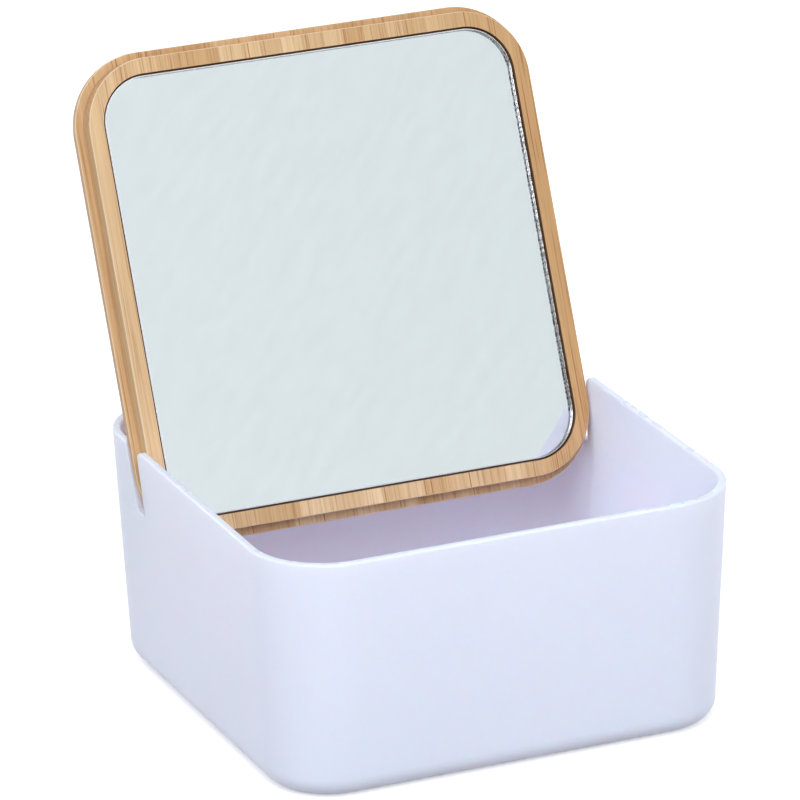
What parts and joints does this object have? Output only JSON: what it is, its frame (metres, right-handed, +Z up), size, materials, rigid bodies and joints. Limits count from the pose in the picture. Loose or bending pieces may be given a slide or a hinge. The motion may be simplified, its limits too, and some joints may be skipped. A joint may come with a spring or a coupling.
{
  "type": "storage box with mirror lid",
  "caption": "Square open plastic box with slots in its side walls that hold its bamboo lid upright, a mirror set into the lid's underside.",
  "frame": {"origin": "centre of the box's flat underside", "axes": "+Z up, +Y towards the rear where the lid stands, +X to the right"},
  "size_m": [0.185, 0.2052, 0.2232],
  "materials": {
    "plastic": "satin, very pale lavender white",
    "bamboo_pale": "clear satin lacquer",
    "bamboo_mid": "clear satin lacquer",
    "bamboo_dark": "clear satin lacquer",
    "mirror": "silvered glass",
    "tape": "white foam tape"
  },
  "bodies": {
    "box": {"box_shell": "plastic"},
    "lid": {"lid_strip_01": "bamboo_mid", "lid_strip_02": "bamboo_pale", "lid_strip_03": "bamboo_pale", "lid_strip_04": "bamboo_pale", "lid_strip_05": "bamboo_mid", "lid_strip_06": "bamboo_mid", "lid_strip_07": "bamboo_mid", "lid_strip_08": "bamboo_pale", "lid_strip_09": "bamboo_pale", "lid_strip_10": "bamboo_mid", "lid_strip_11": "bamboo_pale", "lid_strip_12": "bamboo_mid", "lid_strip_13": "bamboo_pale", "lid_strip_14": "bamboo_dark", "lid_strip_15": "bamboo_mid", "lid_strip_16": "bamboo_pale", "lid_strip_17": "bamboo_mid", "lid_strip_18": "bamboo_pale", "lid_strip_19": "bamboo_mid", "lid_strip_20": "bamboo_mid", "lid_strip_21": "bamboo_pale", "lid_strip_22": "bamboo_mid", "mirror_glass": "mirror", "mirror_tape": "tape"}
  },
  "joints": [
    {"name": "lid_lift", "type": "slide", "parent": "box", "child": "lid", "axis": [0, 0.4003, 0.9164], "range_m": [0, 0.05]}
  ]
}
